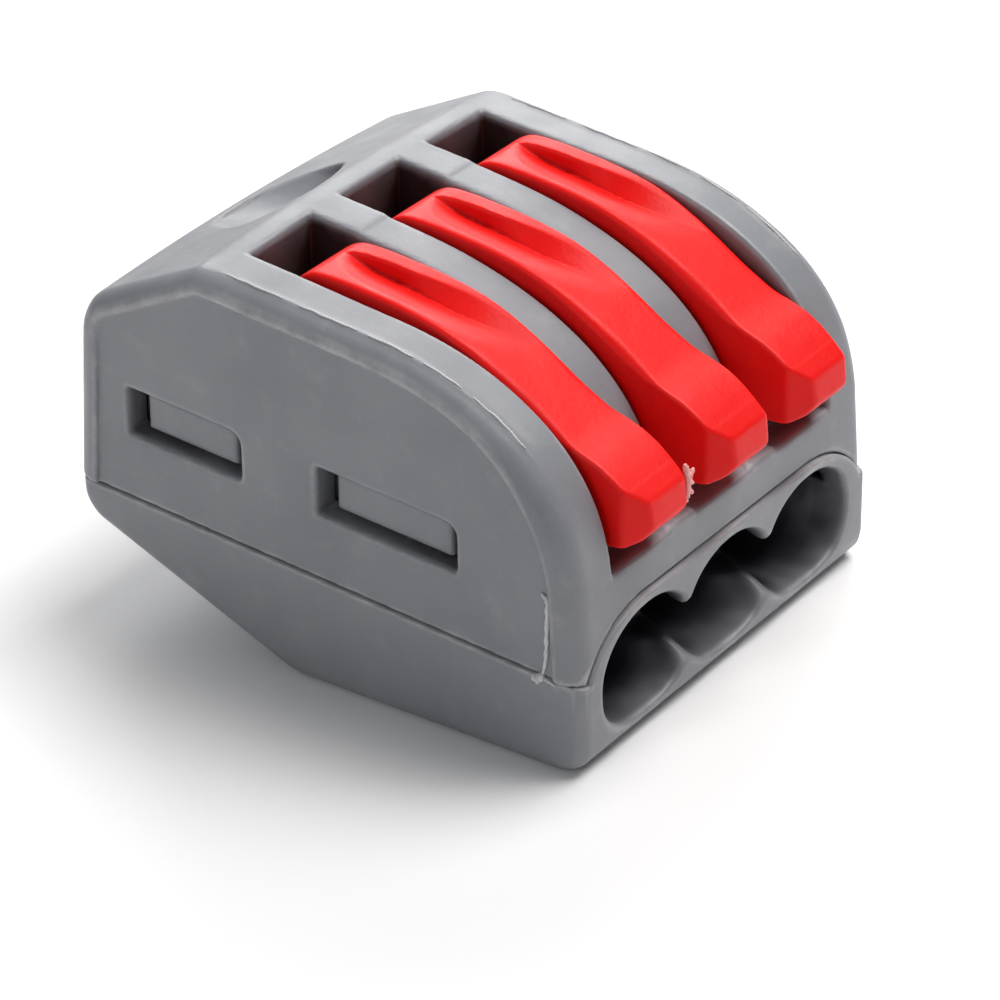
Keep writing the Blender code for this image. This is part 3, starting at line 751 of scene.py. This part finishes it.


# Plastic colours: dark and light tone, a pale colour for wear and painted edge highlight, and the painted
# shade colour for grooves and cavities.
cover_grey = plastic("cover_grey", (0.20, 0.205, 0.225), (0.235, 0.24, 0.26), (0.45, 0.45, 0.46),
                     (0.026, 0.011, 0.01), 0.42, painted_cavity_shade=(0.1, 0.45))
base_grey = plastic("base_grey", (0.21, 0.215, 0.235), (0.245, 0.25, 0.27), (0.42, 0.42, 0.43),
                    (0.012, 0.012, 0.018), 0.42, painted_cavity_shade=(0.08, 0.44))
lever_red = plastic("lever_red", (0.80, 0.005, 0.004), (0.87, 0.010, 0.008), (0.93, 0.05, 0.04),
                    (0.30, 0.0, 0.0), 0.42, 1.8, 0.18)
spring_steel = metal("spring_steel", (0.5, 0.5, 0.51), (0.62, 0.61, 0.6), 0.28)
tinned_copper = metal("tinned_copper", (0.6, 0.58, 0.56), (0.74, 0.73, 0.71), 0.34)

upper = make_upper(GRID_STEP)
cover = moulded("cover", upper, HOUSING_TRIANGLES)[0]
dress(cover, cover_grey, "housing", "upper_housing")
base = moulded("base", make_lower(GRID_STEP), HOUSING_TRIANGLES)[0]
dress(base, base_grey, "housing", "lower_housing")
levers = moulded("lever", make_levers(LEVER_GRID_STEP), LEVER_TRIANGLES, POLES)
for number, lever in enumerate(levers, 1):
    lever.name = f"red_lever_{number}"
    dress(lever, lever_red, f"lever_{number}", f"lever_{number}")

for name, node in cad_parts.items():
    if name == "busbar":
        node.data.materials.clear()
        node.data.materials.append(tinned_copper)
    elif name.startswith(("spring_bow", "clamp_leg")):
        node.data.materials.clear()
        node.data.materials.append(spring_steel)


# --- Moulding flash -------------------------------------------------------------------------------

def thread(name, strands, mat, body):
    """Thin, uneven strands of moulding flash through points in millimetres, each with its own thickness."""
    sides = 6
    verts, faces = [], []
    for radius, points in strands:
        curve = np.array(spline(points, 5))
        first = len(verts)
        for i, centre in enumerate(curve):
            along = curve[min(i + 1, len(curve) - 1)] - curve[max(i - 1, 0)]
            along /= np.linalg.norm(along)
            u = np.cross(along, (0.31, 0.2, 0.93))
            u /= np.linalg.norm(u)
            v = np.cross(along, u)
            t = i / (len(curve) - 1)
            swell = radius * (0.25 + 0.75 * (4 * t * (1 - t)) ** 0.5) * (1 + 0.3 * math.sin(2.7 * i))
            for side in range(sides):
                angle = 2 * math.pi * side / sides
                verts.append((centre + swell * (math.cos(angle) * u + math.sin(angle) * v)) * MM)
        for i in range(len(curve) - 1):
            for side in range(sides):
                a, b = first + i * sides + side, first + i * sides + (side + 1) % sides
                faces.append((a, b, b + sides, a + sides))
        last = first + (len(curve) - 1) * sides
        faces.append(tuple(range(first + sides - 1, first - 1, -1)))
        faces.append(tuple(range(last, last + sides)))
    mesh = bpy.data.meshes.new(name)
    mesh.from_pydata([tuple(v) for v in verts], [], faces)
    mesh.polygons.foreach_set("use_smooth", np.ones(len(faces), bool))
    obj = bpy.data.objects.new(name, mesh)
    bpy.context.scene.collection.objects.link(obj)
    mesh.materials.append(mat)
    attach(obj, body)


flash_grey = plastic("flash_grey", (0.5, 0.5, 0.51), (0.62, 0.62, 0.63), (0.7, 0.7, 0.7),
                     (0.4, 0.4, 0.4), 0.5)
flash_red = plastic("flash_red", (0.85, 0.3, 0.28), (0.9, 0.45, 0.42), (0.95, 0.6, 0.6),
                    (0.7, 0.2, 0.2), 0.5)
SIDE_X = -8.9
WITNESS_RUNS = ((-7.6, -5.3), (-5.1, -3.4), (-3.2, -1.4), (-1.0, 1.6), (2.0, 4.4))
WITNESS_RADIUS = 0.045


def ridge_point(x, y):
    """A point of the cover's top surface."""
    i, j = (int(round((value - low) / upper.step)) for value, low in zip((x, y), upper.low))
    column = upper.value[i, j]
    k = np.flatnonzero(column < 0)[-1]
    return x, y, upper.z[k] + upper.step * column[k] / (column[k] - column[k + 1])


def witness_strands():
    """Broken lines of flash along both long edges of the cover's top."""
    strands = []
    for side in (-1, 1):
        for low, high in WITNESS_RUNS:
            points = [ridge_point(side * (WITNESS_X + 0.02 * math.sin(7 * y * y)), y)
                      for y in np.arange(low, high, 0.3)]
            strands.append((WITNESS_RADIUS, points))
    return strands


thread("cover_flash", [
    (0.085, [(SIDE_X, -8.62, 6.72), (SIDE_X, -8.74, 6.6), (SIDE_X, -8.86, 6.47), (SIDE_X, -8.83, 5.44),
             (SIDE_X, -8.78, 4.28), (SIDE_X, -8.64, 3.62)]),
    (0.17, [(SIDE_X, -8.66, 3.66), (SIDE_X, -8.47, 3.42), (SIDE_X, -8.25, 3.52)]),
    (0.05, [(SIDE_X, -8.6, 3.5), (SIDE_X, -8.9, 3.44), (SIDE_X - 0.05, -9.2, 3.4)]),
    *witness_strands()], flash_grey, "housing")
thread("lever_flash", [
    (0.12, [(-3.56, -10.62, 9.6), (-3.52, -10.66, 9.35), (-3.48, -10.7, 9.05), (-3.5, -10.7, 8.6),
            (-3.56, -10.68, 8.17)]),
    (0.09, [(-3.5, -10.7, 9.0), (-3.35, -10.7, 9.12), (-3.15, -10.7, 9.3)]),
    (0.09, [(-3.52, -10.7, 8.62), (-3.35, -10.7, 8.5), (-3.2, -10.7, 8.4)]),
    (0.07, [(-3.5, -10.7, 8.9), (-3.3, -10.7, 8.85), (-3.15, -10.7, 8.7)])],
    flash_red, "lever_1")


# --- Stage ----------------------------------------------------------------------------------------

FLOOR_HALF = 1.5
WORLD_STRENGTH = 0.17
# The camera's place in millimetres, its angles in degrees and its lens.
CAMERA_PLACE = (-115.21, -82.17, 84.80)
CAMERA_AZIMUTH = -56.10
CAMERA_ELEVATION = 29.67
CAMERA_LENS = 169.09
CAMERA_SHIFT = (-0.0959, -0.0272)
# Name, place in metres, size, power and colour of each soft light.
LIGHTS = (("key", (0.14, -0.08, 0.36), 0.24, 1.62, (1.0, 0.99, 0.98)),
          ("sheen", (0.28, 0.19, 0.19), 0.24, 0.9, (1.0, 1.0, 1.0)),
          ("fill", (-0.34, 0.04, 0.20), 0.20, 0.22, (0.9, 0.94, 1.0)))


def make_floor():
    """A wide pale floor."""
    mesh = bpy.data.meshes.new("floor")
    size = FLOOR_HALF
    corners = [(-size, -size, 0.0), (size, -size, 0.0), (size, size, 0.0), (-size, size, 0.0)]
    mesh.from_pydata(corners, [], [(0, 1, 2, 3)])
    floor = bpy.data.objects.new("floor", mesh)
    bpy.context.scene.collection.objects.link(floor)
    pale = bpy.data.materials.new("floor_pale")
    nodes, links = nodes_of(pale)
    place = nodes.new("ShaderNodeTexCoord").outputs["Object"]
    tone = ramp(nodes, links, noise(nodes, links, place, FLOOR_SCALE), 0.0, 1.0)
    links.new(mix(nodes, links, tone, (0.9, 0.9, 0.9), (0.93, 0.93, 0.93)),
              nodes["Principled BSDF"].inputs["Base Color"])
    nodes["Principled BSDF"].inputs["Roughness"].default_value = 0.7
    mesh.materials.append(pale)


def make_lights():
    """An even white world and the soft lights, all turned to the middle of the part."""
    world = bpy.data.worlds.new("studio")
    world.use_nodes = True
    background = world.node_tree.nodes["Background"]
    background.inputs["Color"].default_value = (1.0, 1.0, 1.0, 1.0)
    background.inputs["Strength"].default_value = WORLD_STRENGTH
    bpy.context.scene.world = world

    target = Vector((0.0, 0.0, 0.007))
    for name, place, size, power, colour in LIGHTS:
        light = bpy.data.lights.new(name, "AREA")
        light.size = size
        light.energy = power
        light.color = colour
        lamp = bpy.data.objects.new(name, light)
        lamp.location = place
        lamp.rotation_mode = "QUATERNION"
        lamp.rotation_quaternion = (target - Vector(place)).to_track_quat("-Z", "Y")
        bpy.context.scene.collection.objects.link(lamp)


def make_camera():
    """A long lens, above and to the left of the wire entries."""
    lens = bpy.data.cameras.new("camera")
    lens.sensor_width = 36.0
    lens.lens = CAMERA_LENS
    lens.shift_x, lens.shift_y = CAMERA_SHIFT
    lens.clip_start = 0.01
    lens.clip_end = 10.0
    camera = bpy.data.objects.new("camera", lens)
    azimuth, elevation = math.radians(CAMERA_AZIMUTH), math.radians(CAMERA_ELEVATION)
    back = Vector((math.sin(azimuth) * math.cos(elevation), -math.cos(azimuth) * math.cos(elevation),
                   math.sin(elevation)))
    camera.location = Vector(CAMERA_PLACE) * MM
    camera.rotation_mode = "QUATERNION"
    camera.rotation_quaternion = (-back).to_track_quat("-Z", "Y")
    bpy.context.scene.collection.objects.link(camera)
    bpy.context.scene.camera = camera


make_floor()
make_lights()
make_camera()
bpy.context.scene.view_settings.view_transform = "Standard"
